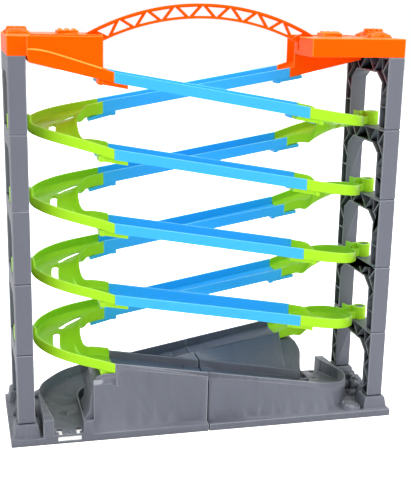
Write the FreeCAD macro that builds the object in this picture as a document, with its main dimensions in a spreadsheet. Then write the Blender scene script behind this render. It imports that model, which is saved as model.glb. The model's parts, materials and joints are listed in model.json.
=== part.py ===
import FreeCAD, Part
import math
import os
import re
import Sketcher
from FreeCAD import Placement, Rotation, Vector

# Toy race track in millimetres: a lane winds down round two towers. Origin on the floor under the
# middle, +X to the right tower, +Y to the back, +Z up. Half a turn about Z maps the track onto
# itself, so each piece is drawn once, for one side, and turned for the other.

LEVELS = 4
SEGMENTS = LEVELS + 1
ARCH_HOLES = 15
ARC_STATIONS = 8

SIZES = {
    # lane
    "lane_inner_y": 12.0,
    "lane_outer_low_y": 61.5,
    "lane_outer_high_y": 57.3,
    "wall": 2.0,
    "lane_floor": 2.0,
    "low_joint_x": 108.0,
    "high_joint_x": 109.5,
    "low_rim_drop": 15.8,
    "high_rim_rise": 26.2,
    "low_wall_height": 11.0,
    "high_wall_height": 12.2,
    "inner_rim_lift": 1.2,
    "fit_gap": 0.2,
    # tongues that lap under each joint
    "tongue_thickness": 4.0,
    "tongue_width": 16.0,
    "tongue_inset": 2.6,
    "curve_tongue_reach": 15.0,
    "curve_tongue_root": 16.5,
    "straight_tongue_reach": 16.0,
    "straight_tongue_root": 14.8,
    "straight_tongue_dip": 2.4,
    "collar_length": 4.8,
    "collar_step": 0.8,
    "end_groove_x": 5.0,
    "end_groove": 0.8,
    "end_groove_depth": 0.4,
    # curves
    "curve_centre_x": 136.2,
    "inner_centre_x": 127.5,
    "rim_bow": 4.67,
    "rim_wave": 2.98,
    "rim_ripple": 0.62,
    "bank_drop": 14.0,
    "inner_wall_dip": 6.5,
    "inner_flare": 7.0,
    "cove": 2.5,
    "slot_width": 7.0,
    "slot_radius": 33.0,
    "long_slot_radius": 80.0,
    "post_diameter": 16.5,
    "post_height": 15.5,
    "neck_width": 9.0,
    "tab_length": 13.0,
    # towers
    "tower_gap": 4.1,
    "leg_width": 18.7,
    "leg_depth": 17.2,
    "tower_outer_y": 59.7,
    "segment_height": 80.0,
    "shell": 2.0,
    "crossbar_depth": 18.2,
    "shoulder_y": 28.0,
    "shoulder_drop": 10.0,
    "recess_drop": 54.5,
    "foot_recess_drop": 78.0,
    "rib": 1.4,
    "rib_slant": 1.1,
    "rib_start": 3.0,
    "rib_pitch": 13.5,
    "foot_rib_pitch": 14.5,
    "web_middle_y": 4.5,
    "web_low_y": 20.0,
    "web_outer_y": 35.0,
    "spigot_height": 8.0,
    "seam_inset": 0.6,
    "seam_height": 1.2,
    "peg_diameter": 12.0,
    "peg_height": 14.0,
    # top decks
    "deck_height": 20.1,
    "deck_step": 4.3,
    "deck_step_y": 14.5,
    "chute_gap": 3.0,
    "chute_slope": 0.235,
    "ledge_bend_x": 173.0,
    "ledge_bend": 4.3,
    "ledge_top": 7.2,
    "plate_start_x": 119.6,
    "plate_set_back": 0.9,
    "plate_root": 6.0,
    "groove_depth": 0.6,
    "ribbed_block_x": 149.3,
    "ribbed_block_length": 23.8,
    "ribbed_block_width": 22.0,
    "ribbed_block_height": 4.2,
    "block_taper": 8.0,
    "vent_rib": 4.6,
    "vent_rib_pitch": 7.4,
    "vent_rib_height": 1.6,
    "vent_rib_taper": 10.0,
    "hub_x": 202.6,
    "hub_length": 26.0,
    "hub_width": 54.0,
    "hub_height": 3.4,
    "hub_taper": 30.0,
    "dome_radius": 12.6,
    "dome_height": 6.0,
    "dome_taper": 14.0,
    "dome_slot_start": 5.0,
    "dome_slot_end": 14.0,
    "dome_slot_width": 2.6,
    "dome_slot_depth": 2.6,
    # arch
    "arch_crown": 33.9,
    "arch_top_radius": 269.0,
    "arch_bottom_radius": 259.0,
    "arch_depth": 16.0,
    "arch_pitch": 15.9,
    "arch_end_x": 129.0,
    "arch_width": 6.0,
    "arch_web": 3.6,
    "arch_chord": 2.6,
    "arch_strut": 3.0,
    "arch_hole_set_back": 0.6,
    "arch_ridge": 1.0,
    "arch_gap": 0.3,
    # base
    "base_end_margin": 8.55,
    "base_side_margin": 8.6,
    "plate_height": 8.9,
    "plinth_height": 14.6,
    "plinth_top_margin": 3.3,
    "plinth_chamfer": 1.4,
    "plinth_foot_margin": 5.6,
    "ramp_end_x": 132.0,
    "ramp_depth": 12.0,
    "seam_gap": 0.8,
    "clip_y": 20.0,
    "clip_width": 20.0,
    "clip_reach": 8.0,
    "plate_chamfer": 0.8,
    "ledge_drop": 4.6,
    "ledge_depth": 0.8,
    "floor_groove_x": 20.5,
    "floor_groove": 1.4,
    "web_end_x": 116.0,
    "seat_length": 25.0,
    "seat_ledge": 64.5,
    "bowl_rim": 45.3,
    "bowl_radius": 57.5,
    "kerb_x": 143.0,
    "kerb_height": 25.0,
    "exit_rim": 29.5,
    "exit_floor": 10.4,
    "exit_wall": 11.9,
    "exit_slot_length": 25.7,
    "exit_slot_height": 4.8,
    "exit_slot_low": 3.2,
    "exit_slot_depth": 3.0,
    "exit_room": 22.0,
    "latch_x": 8.0,
    "latch_width": 6.2,
    "latch_leg_width": 3.6,
    "latch_back": 14.8,
    "latch_step": 7.2,
    "latch_leg_end": 2.0,
    "drain_radius": 1.5,
    "drain_front": 4.9,
    "drain_back": 44.0,
    "foot_flare": 8.0,
    "foot_spigot": 6.0,
    "rock_radius": 7.5,
    "rock_height": 17.0,
    "disc_x": 180.0,
    "disc_y": 55.5,
    "disc_radius": 11.3,
    "disc_height": 4.2,
    "disc_tilt": 9.0,
    "disc_rim": 1.8,
    "disc_groove": 1.0,
}

doc = FreeCAD.newDocument("race_track")
sheet = doc.addObject("Spreadsheet::Sheet", "dims")
for row, (alias, value) in enumerate(SIZES.items(), start=1):
    sheet.set("A%d" % row, alias)
    sheet.set("B%d" % row, str(value))
    sheet.setAlias("B%d" % row, alias)
doc.recompute()


def bind(text):
    """The expression with each of the sheet's names written as the document reads it."""
    def cell(word):
        return "dims." + word.group() if word.group() in SIZES else word.group()
    return re.sub(r"[a-z][a-z_]*", cell, text)


class Values:
    """The sheet's values, for the shapes that the script works out itself."""

    def __getattr__(self, name):
        return float(sheet.get(name))


size = Values()
pieces = []

# where the towers stand follows the curves between them
TOWER_INNER_X = "(curve_centre_x + lane_outer_high_y + tower_gap)"
TOWER_OUTER_X = "(%s + leg_width)" % TOWER_INNER_X
POST_X = "(%s + leg_width / 2)" % TOWER_INNER_X
LEG_INNER_Y = "(tower_outer_y - leg_depth)"
PLINTH_TOP = "(plate_height + plinth_height)"

tower_inner_x = size.curve_centre_x + size.lane_outer_high_y + size.tower_gap
tower_outer_x = tower_inner_x + size.leg_width
post_x = tower_inner_x + size.leg_width / 2
plinth_top = size.plate_height + size.plinth_height


def level_height(level):
    """Height of the crossbar top at a level. Level 0 is the tower's top, level 5 the plinth's."""
    return "%s + %d * segment_height" % (PLINTH_TOP, SEGMENTS - level)


# sketches and features

def sketch_on(body, name, role, offset=None):
    """A sketch on one of its body's origin planes, moved along the plane's normal."""
    sketch = body.newObject("Sketcher::SketchObject", name)
    plane = [feature for feature in body.Origin.OriginFeatures if feature.Role == role][0]
    sketch.AttachmentSupport = [(plane, "")]
    sketch.MapMode = "FlatFace"
    if offset:
        sketch.setExpression(".AttachmentOffset.Base.z", bind(offset))
    return sketch


def hold(sketch, dimensions):
    """Dimensions from the sketch's origin, each as (kind, geometry, point, expression)."""
    made = [Sketcher.Constraint(kind, -1, 1, geometry, point, 1.0)
            for kind, geometry, point, _ in dimensions]
    first = sketch.ConstraintCount
    sketch.addConstraint(made)
    for index, (_, _, _, text) in enumerate(dimensions, start=first):
        sketch.setExpression("Constraints[%d]" % index, bind(text))


def outline(sketch, corners):
    """A closed polygon whose corners are pairs of expressions."""
    first = sketch.GeometryCount
    count = len(corners)
    spots = []
    for index in range(count):
        angle = 2 * math.pi * index / count
        spots.append(Vector(10 * math.cos(angle), 10 * math.sin(angle), 0))
    sketch.addGeometry([Part.LineSegment(spots[index], spots[(index + 1) % count])
                        for index in range(count)], False)
    sketch.addConstraint([Sketcher.Constraint("Coincident", first + index, 2,
                                              first + (index + 1) % count, 1)
                          for index in range(count)])
    across = [("DistanceX", first + index, 1, corner[0]) for index, corner in enumerate(corners)]
    up = [("DistanceY", first + index, 1, corner[1]) for index, corner in enumerate(corners)]
    hold(sketch, across + up)


def ring(sketch, across, up, radius):
    """A circle placed and sized by expressions."""
    index = sketch.addGeometry(Part.Circle(Vector(1, 1, 0), Vector(0, 0, 1), 5), False)
    hold(sketch, [("DistanceX", index, 3, across), ("DistanceY", index, 3, up)])
    bound = sketch.addConstraint(Sketcher.Constraint("Radius", index, 5))
    sketch.setExpression("Constraints[%d]" % bound, bind(radius))


def rectangle(across, up, width, height):
    """The corners of a rectangle about a centre, as expressions."""
    pairs = ((-1, -1), (1, -1), (1, 1), (-1, 1))
    return [("%s + %d * (%s) / 2" % (across, i, width), "%s + %d * (%s) / 2" % (up, j, height))
            for i, j in pairs]


def pad(body, sketch, length, backwards=False, taper=None):
    feature = body.newObject("PartDesign::Pad", sketch.Name + "_pad")
    feature.Profile = sketch
    feature.setExpression("Length", bind(length))
    feature.Reversed = backwards
    if taper:
        feature.setExpression("TaperAngle", bind(taper))
    return feature


def pocket(body, sketch, length, backwards=False):
    feature = body.newObject("PartDesign::Pocket", sketch.Name + "_cut")
    feature.Profile = sketch
    feature.setExpression("Length", bind(length))
    feature.Reversed = backwards
    return feature


def new_body(name):
    """A body that holds one design. The pieces on the track are clones of it."""
    body = doc.addObject("PartDesign::Body", name)
    body.Label = name
    return body


def worked_out(name, shape):
    """A design whose solid the script works out from the sheet's values."""
    design = doc.addObject("Part::Feature", name)
    design.Label = name
    design.Shape = shape
    return design


def place(name, design, height, turned=False):
    """One piece of the track: a clone of its design at its height, turned for the far side."""
    body = doc.addObject("PartDesign::Body", name)
    body.Label = name
    copy = body.newObject("PartDesign::FeatureBase", name + "_clone")
    copy.BaseFeature = design
    body.Tip = copy
    body.Placement = Placement(Vector(0, 0, 0), Rotation(Vector(0, 0, 1), 180 if turned else 0))
    body.setExpression(".Placement.Base.z", bind(height))
    pieces.append(body)


def closed(points):
    """The polygon through points, as a closed wire."""
    return Part.makePolygon(points + points[:1])


def loft(wires, ruled=True):
    return Part.makeLoft(wires, True, ruled)


def block(x, y, z):
    """A box between two values on each axis."""
    box = Part.makeBox(x[1] - x[0], y[1] - y[0], z[1] - z[0])
    box.translate(Vector(x[0], y[0], z[0]))
    return box


def slab(corners, y):
    """A side-view polygon of (x, z) corners drawn out between two values of y."""
    face = Part.Face(closed([Vector(x, y[0], z) for x, z in corners]))
    return face.extrude(Vector(0, y[1] - y[0], 0))


# tower segments: portal frames with a lattice of thin ribs in their open inner face

def tower_segment(name, is_foot=False, is_top=False):
    """One portal frame for the right tower. Height 0 is its crossbar's top."""
    body = new_body(name)
    shoulder_foot = "-(crossbar_depth + shoulder_drop)"
    frame = sketch_on(body, name + "_frame", "YZ_Plane", TOWER_INNER_X)
    outline(frame, [
        ("-tower_outer_y", "-segment_height"), ("-tower_outer_y", "0"),
        ("tower_outer_y", "0"), ("tower_outer_y", "-segment_height"),
        (LEG_INNER_Y, "-segment_height"), (LEG_INNER_Y, shoulder_foot),
        ("shoulder_y", "-crossbar_depth"), ("-shoulder_y", "-crossbar_depth"),
        ("-%s" % LEG_INNER_Y, shoulder_foot), ("-%s" % LEG_INNER_Y, "-segment_height"),
    ])
    pad(body, frame, "leg_width")

    foot = "-foot_recess_drop" if is_foot else "-recess_drop"
    recess = sketch_on(body, name + "_recess", "YZ_Plane", TOWER_INNER_X)
    outer, inner = "(tower_outer_y - shell)", "(%s + shell)" % LEG_INNER_Y
    shoulder_in = "-(crossbar_depth + shoulder_drop - shell / 2)"
    outline(recess, [
        ("-%s" % outer, foot), ("-%s" % outer, "-shell"),
        (outer, "-shell"), (outer, foot), (inner, foot), (inner, shoulder_in),
        ("shoulder_y + shell / 2", "-(crossbar_depth - shell)"),
        ("-(shoulder_y + shell / 2)", "-(crossbar_depth - shell)"),
        ("-%s" % inner, shoulder_in), ("-%s" % inner, foot),
    ])
    pocket(body, recess, "leg_width - shell", backwards=True)

    pitch = "foot_rib_pitch" if is_foot else "rib_pitch"
    turns = 6 if is_foot else 4
    lattice = sketch_on(body, name + "_lattice", "YZ_Plane", TOWER_INNER_X)
    for sign in ("", "-"):
        nodes = []
        for index in range(turns):
            edge = "(tower_outer_y - rib)" if index % 2 == 0 else "(%s + rib)" % LEG_INNER_Y
            nodes.append((edge, "-(rib_start + %d * %s)" % (index, pitch)))
        one_side = [("%s(%s + %s)" % (sign, y, "rib_slant"), z) for y, z in nodes]
        other_side = [("%s(%s - %s)" % (sign, y, "rib_slant"), z) for y, z in nodes]
        outline(lattice, one_side + other_side[::-1])
    web_top, web_low = "-rib", "-(crossbar_depth - rib)"
    zigzag = [("-web_outer_y", web_top), ("-web_low_y", web_low), ("-web_middle_y", web_top),
              ("web_middle_y", web_top), ("web_low_y", web_low), ("web_outer_y", web_top)]
    upper = [(y, "%s + %s" % (z, "rib_slant")) for y, z in zigzag]
    lower = [(y, "%s - %s" % (z, "rib_slant")) for y, z in zigzag]
    outline(lattice, upper + lower[::-1])
    pad(body, lattice, "leg_width - shell / 2")

    posts = sketch_on(body, name + "_web_ends", "YZ_Plane", TOWER_INNER_X)
    for sign in ("", "-"):
        middle = "%s(%s - rib / 2)" % (sign, LEG_INNER_Y)
        outline(posts, rectangle(middle, "-crossbar_depth / 2", "rib", "crossbar_depth - rib"))
    pad(body, posts, "leg_width - shell / 2")

    leg_x = "(%s + leg_width / 2)" % TOWER_INNER_X
    leg_y = "(tower_outer_y - leg_depth / 2)"
    spigot_x = "leg_width - 2 * shell - 2 * fit_gap"
    spigot_y = "leg_depth - 2 * shell - 2 * fit_gap"
    spigots = sketch_on(body, name + "_spigots", "XY_Plane", "-shell / 2")
    for sign in ("", "-"):
        outline(spigots, rectangle(leg_x, "%s%s" % (sign, leg_y), spigot_x, spigot_y))
    pad(body, spigots, "spigot_height + shell / 2")

    if is_foot:
        feet = sketch_on(body, name + "_feet", "XY_Plane", "-segment_height")
        for sign in ("", "-"):
            outline(feet, rectangle(leg_x, "%s%s" % (sign, leg_y), spigot_x, spigot_y))
        pad(body, feet, "foot_spigot", backwards=True)
    else:
        sockets = sketch_on(body, name + "_sockets", "XY_Plane", "-segment_height")
        for sign in ("", "-"):
            outline(sockets, rectangle(leg_x, "%s%s" % (sign, leg_y),
                                       "leg_width - 2 * shell", "leg_depth - 2 * shell"))
        pocket(body, sockets, "spigot_height + fit_gap", backwards=True)

    seam = sketch_on(body, name + "_seam", "XY_Plane", "-segment_height")
    for sign in ("", "-"):
        centre = (leg_x, "%s%s" % (sign, leg_y))
        outline(seam, rectangle(*centre, "leg_width + 2", "leg_depth + 2"))
        outline(seam, rectangle(*centre, "leg_width - 2 * seam_inset",
                                "leg_depth - 2 * seam_inset"))
    pocket(body, seam, "seam_height", backwards=True)

    if not is_top:
        peg = sketch_on(body, name + "_peg", "XY_Plane", "-shell / 2")
        ring(peg, POST_X, "0", "peg_diameter / 2")
        pad(body, peg, "peg_height + shell / 2")
    return body


# straights: tapering channels, 1 level down from a low joint to the next high joint

def channel_corners(outer, inner, rim, inner_rim, depth):
    """The channel's upright section for a sketch, lane side of the front half."""
    under = "(%s - %s)" % (rim, depth)
    return [
        ("-%s" % outer, rim), ("-(%s - wall)" % outer, rim),
        ("-(%s - wall)" % outer, "%s + lane_floor" % under),
        ("-(%s + wall)" % inner, "%s + lane_floor" % under),
        ("-(%s + wall)" % inner, inner_rim), ("-%s" % inner, inner_rim),
        ("-%s" % inner, under), ("-%s" % outer, under),
    ]


STRAIGHT_HIGH_X = "(low_joint_x - fit_gap / 2)"
STRAIGHT_LOW_X = "(high_joint_x - fit_gap / 2)"
LOW_END_RIM = "(high_rim_rise - segment_height)"
UNDER_LOW_JOINT = "(-low_rim_drop - low_wall_height)"
STRAIGHT_DROP = "(%s - %s + high_wall_height)" % (UNDER_LOW_JOINT, LOW_END_RIM)
STRAIGHT_SLOPE = "(%s / (low_joint_x + high_joint_x))" % STRAIGHT_DROP


def straight(name):
    """The front straight, high on the left. Turned half a turn it is the back one."""
    body = new_body(name)
    high = sketch_on(body, name + "_high_end", "YZ_Plane", "-%s" % STRAIGHT_HIGH_X)
    outline(high, channel_corners("lane_outer_low_y", "lane_inner_y", "-low_rim_drop",
                                  "-low_rim_drop", "low_wall_height"))
    low = sketch_on(body, name + "_low_end", "YZ_Plane", STRAIGHT_LOW_X)
    outline(low, channel_corners("lane_outer_high_y", "lane_inner_y", LOW_END_RIM,
                                 "(%s + inner_rim_lift)" % LOW_END_RIM, "high_wall_height"))
    channel = body.newObject("PartDesign::AdditiveLoft", name + "_channel")
    channel.Profile = high
    channel.Sections = [low]
    channel.Ruled = True
    # each tongue runs on under the next piece's floor, in line with the straight's own underside
    under_low = "(%s - high_wall_height)" % LOW_END_RIM
    for end, way, joint, under, dip in (
            ("high", "-1", STRAIGHT_HIGH_X, UNDER_LOW_JOINT, "0"),
            ("low", "1", STRAIGHT_LOW_X, under_low, "straight_tongue_dip")):
        slope = "(%s * %s)" % (way, STRAIGHT_SLOPE)
        root = "(%s * (%s - straight_tongue_root))" % (way, joint)
        tip = "(%s * (%s + straight_tongue_reach))" % (way, joint)
        at_root = "(%s + %s * straight_tongue_root)" % (under, slope)
        at_tip = "(%s - %s * straight_tongue_reach - %s - fit_gap)" % (under, slope, dip)
        edge = "(%s * %s)" % (way, joint)
        tongue = sketch_on(body, "%s_%s_tongue" % (name, end), "XZ_Plane",
                           "lane_inner_y + tongue_inset")
        outline(tongue, [
            (root, "%s - tongue_thickness" % at_root), (root, "%s + lane_floor / 2" % at_root),
            (edge, "%s + lane_floor / 2" % under), (edge, "%s - fit_gap" % under),
            (tip, at_tip), (tip, "%s + fit_gap - tongue_thickness" % at_tip),
        ])
        pad(body, tongue, "tongue_width")
        collar = sketch_on(body, "%s_%s_collar" % (name, end), "XZ_Plane",
                           "lane_inner_y + tongue_inset - collar_step")
        inwards = "(%s * collar_length)" % way
        fall = "(%s * collar_length)" % slope
        bottom = "(%s - tongue_thickness - collar_step)" % at_root
        outline(collar, [(root, bottom), (root, "%s + lane_floor / 2" % at_root),
                         ("%s + %s" % (root, inwards), "%s + lane_floor / 2 - %s" % (at_root, fall)),
                         ("%s + %s" % (root, inwards), "%s - %s" % (bottom, fall))])
        pad(body, collar, "tongue_width + 2 * collar_step")

    # a fine groove runs round both walls just before the high end
    grooves = sketch_on(body, name + "_end_grooves", "XY_Plane")
    groove_x = "(end_groove_x - %s)" % STRAIGHT_HIGH_X
    for y in ("-lane_outer_low_y", "-lane_inner_y"):
        outline(grooves, rectangle(groove_x, y, "end_groove", "2 * end_groove_depth"))
    pocket(body, grooves, "segment_height")
    return body


# curves: banked half turns of a channel whose inner wall dips and flares. Spans are shares of the
# curve's length from its high end, and sweeps are degrees round it.

BANK_SPAN = (0.38, 1.0)
DIP_SPAN = (0.2, 0.75)
SLOT_SWEEP = (14, 66)
LONG_SLOT_SWEEP = (78, 100)
LONG_SLOT_SHARE = 0.56
LONG_SLOT_Y = -15


def swell(along, span):
    """A smooth hump of height 1 over a span of the curve's length."""
    share = (along - span[0]) / (span[1] - span[0])
    return math.sin(math.pi * share) ** 2 if 0 < share < 1 else 0.0


def channel_section(outer, inner, outer_rim, inner_rim, outer_depth, inner_depth, flare):
    """The channel's upright section between an outer and an inner point in plan."""
    way = (inner - outer).normalize()
    width = inner.distanceToPoint(outer)
    outer_floor = outer_rim - outer_depth + size.lane_floor
    inner_floor = inner_rim - inner_depth + size.lane_floor
    corners = [
        (0, outer_rim), (size.wall, outer_rim), (size.wall, outer_floor + size.cove),
        (size.wall + size.cove, outer_floor), (width - size.wall - flare, inner_floor),
        (width - size.wall, inner_rim), (width, inner_rim),
        (width, inner_rim - inner_depth), (0, outer_rim - outer_depth),
    ]
    return closed([outer + way * across + Vector(0, 0, up) for across, up in corners])


def curve_lengths():
    """The straight run at the curve's high end, its half circle, and its whole length."""
    stub = size.curve_centre_x - size.high_joint_x
    arc = math.pi * size.lane_outer_high_y
    return stub, arc, stub + arc + size.curve_centre_x - size.low_joint_x


def curve_plan(share):
    """Outer and inner wall points of the left curve, by share of its length from the high end."""
    stub, arc, length = curve_lengths()
    run = share * length
    centre, inner_centre = size.curve_centre_x, size.inner_centre_x
    inner_y = size.lane_inner_y
    if run <= stub:
        part = run / stub
        outer = Vector(-size.high_joint_x - part * stub, size.lane_outer_high_y, 0)
        reach = inner_centre - size.high_joint_x
        return outer, Vector(-size.high_joint_x - part * reach, inner_y, 0)
    if run < stub + arc:
        angle = (run - stub) / size.lane_outer_high_y
        across, along = math.sin(angle), math.cos(angle)
        side = size.lane_outer_high_y if along > 0 else size.lane_outer_low_y
        outer = Vector(-centre - size.lane_outer_high_y * across, side * along, 0)
        return outer, Vector(-inner_centre - inner_y * across, inner_y * along, 0)
    part = (run - stub - arc) / (length - stub - arc)
    outer = Vector(-centre + part * (centre - size.low_joint_x), -size.lane_outer_low_y, 0)
    reach = inner_centre - size.low_joint_x
    return outer, Vector(-inner_centre + part * reach, -inner_y, 0)


def rim_height(share):
    """Height of the curve's outer rim over its crossbar's top."""
    turn = math.pi * share
    fall = (size.high_rim_rise + size.low_rim_drop) * share
    waves = (size.rim_bow * math.sin(turn) - size.rim_wave * math.sin(2 * turn)
             + size.rim_ripple * math.sin(3 * turn))
    return size.high_rim_rise - fall + waves


def curve_station(share):
    outer, inner = curve_plan(share)
    rim = rim_height(share)
    inner_rim = rim + size.inner_rim_lift * (1 - share) - size.bank_drop * swell(share, BANK_SPAN)
    outer_depth = size.high_wall_height + (size.low_wall_height - size.high_wall_height) * share
    inner_depth = (outer_depth + size.inner_rim_lift * (1 - share)
                   - size.inner_wall_dip * swell(share, DIP_SPAN))
    flare = size.inner_flare * math.sin(math.pi * share)
    return channel_section(outer, inner, rim, inner_rim, outer_depth, inner_depth, flare)


def floor_slot(centre, radius, width, sweep, z):
    """A slot along an arc, between two angles from +Y towards -X, drawn up through the floor."""
    first, last = sweep
    def spot(reach, degrees):
        angle = math.radians(degrees)
        across, along = reach * math.sin(angle), reach * math.cos(angle)
        return Vector(centre[0] - across, centre[1] + along, z[0])
    middle = (first + last) / 2
    near, far = radius - width / 2, radius + width / 2
    ease = math.degrees(width / 2 / radius)
    edges = [
        Part.Arc(spot(near, first), spot(near, middle), spot(near, last)),
        Part.Arc(spot(near, last), spot(radius, last + ease), spot(far, last)),
        Part.Arc(spot(far, last), spot(far, middle), spot(far, first)),
        Part.Arc(spot(far, first), spot(radius, first - ease), spot(near, first)),
    ]
    face = Part.Face(Part.Wire([edge.toShape() for edge in edges]))
    return face.extrude(Vector(0, 0, z[1] - z[0]))


def curve_tongue(joint, side_y, way, under, slope):
    """The curve's own tongue: rooted in its floor, in line with the straight's underside."""
    root_x, tip_x = joint + size.curve_tongue_root, joint - size.curve_tongue_reach
    top = under - size.fit_gap
    corners = [
        (-root_x, top + slope * size.curve_tongue_root - size.tongue_thickness),
        (-root_x, top + slope * size.curve_tongue_root + size.lane_floor),
        (-joint, under + size.lane_floor / 2), (-joint, top),
        (-tip_x, top - slope * size.curve_tongue_reach),
        (-tip_x, top - slope * size.curve_tongue_reach - size.tongue_thickness),
    ]
    far = side_y - size.tongue_inset
    near = far - size.tongue_width
    step, inner_x = size.collar_step, root_x - size.collar_length
    low = top + slope * size.curve_tongue_root - size.tongue_thickness - step
    fall = slope * size.collar_length
    high = low + size.tongue_thickness + step + size.lane_floor
    collar = [(-root_x, low), (-root_x, high), (-inner_x, high - fall), (-inner_x, low - fall)]
    return slab(corners, sorted((way * far, way * near))).fuse(
        slab(collar, sorted((way * (far + step), way * (near - step)))))


def curve_shape():
    """The left curve: high end at the back, low end at the front."""
    stub, arc, length = curve_lengths()
    shares = [0.0, stub / length / 2]
    shares += [(stub + arc * step / ARC_STATIONS) / length for step in range(ARC_STATIONS + 1)]
    shares += [(1 + shares[-1]) / 2, 1.0]
    channel = loft([curve_station(share) for share in shares], ruled=False)

    # slots through the lane floor that follow the racing line
    deep = (-size.segment_height / 2, size.segment_height / 2)
    turn_x = size.inner_centre_x + size.wall
    slot = floor_slot((-turn_x, 0), size.slot_radius, size.slot_width, SLOT_SWEEP, deep)
    bend = size.long_slot_radius
    across = size.curve_centre_x + size.lane_outer_high_y * LONG_SLOT_SHARE
    long_slot = floor_slot((bend - across, LONG_SLOT_Y), bend, size.slot_width, LONG_SLOT_SWEEP, deep)
    shape = channel.cut([slot, long_slot])

    # the post slips over the crossbar's peg, and a short neck ties it to the outer wall
    outer_x = size.curve_centre_x + size.lane_outer_high_y
    radius = size.post_diameter / 2
    post = Part.makeCylinder(radius, size.post_height, Vector(-post_x, 0, 0))
    half = size.neck_width / 2
    middle_rim = rim_height(0.5)
    neck = block((-post_x, -outer_x + size.wall / 2), (-half, half), (size.fit_gap, middle_rim))
    wing = block((-post_x, -outer_x + size.wall / 2), (-half, size.wall - half),
                 (size.fit_gap, size.post_height))
    hole = Part.makeCylinder(size.peg_diameter / 2 + size.fit_gap, size.post_height + 2,
                             Vector(-post_x, 0, -1))
    tab_points = [curve_plan(0.5 + step * size.tab_length / 4 / length)[0] for step in range(5)]
    inner_points = [point + (Vector(-size.curve_centre_x, 0, 0) - point).normalize() * size.wall
                    for point in reversed(tab_points)]
    lift = Vector(0, 0, middle_rim - size.low_wall_height / 2)
    tab = Part.Face(closed([point + lift for point in tab_points + inner_points]))
    tab = tab.extrude(Vector(0, 0, size.post_height - lift.z))
    shape = shape.fuse([post, neck, wing, tab])

    drop = size.segment_height - size.low_rim_drop - size.low_wall_height
    drop += size.high_wall_height - size.high_rim_rise
    slope = drop / (size.low_joint_x + size.high_joint_x)
    low_tongue = curve_tongue(size.low_joint_x, size.lane_outer_low_y, -1,
                              -size.low_rim_drop - size.low_wall_height, slope)
    high_tongue = curve_tongue(size.high_joint_x, size.lane_outer_high_y, 1,
                               size.high_rim_rise - size.high_wall_height, -slope)
    shape = shape.fuse([low_tongue, high_tongue]).cut(hole)
    return shape.removeSplitter()


# top decks: a hollow deck over the tower, and an open chute down to the first straight

DECK_END_X = "(low_joint_x + deck_step)"
LANE_FACE_Y = "(lane_inner_y + wall)"
SOCKET_X = "(arch_end_x + arch_gap)"
SOCKET_Y = "(arch_width / 2 + arch_gap)"
ARCH_FOOT = ("(deck_height + arch_crown - arch_depth - arch_bottom_radius"
             " + sqrt(arch_bottom_radius ^ 2 - arch_end_x ^ 2))")
CHUTE_TOP_X = "(%s - chute_gap)" % TOWER_INNER_X
CHUTE_TOP_UNDER = "(%s + chute_slope * (%s - low_joint_x))" % (UNDER_LOW_JOINT, CHUTE_TOP_X)


def chute_wall(body, name, start, thickness, corners):
    """A part of the chute drawn in side view and given a thickness across the lane."""
    sketch = sketch_on(body, name, "XZ_Plane", "-(%s)" % start)
    outline(sketch, corners)
    pad(body, sketch, thickness, backwards=True)


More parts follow.
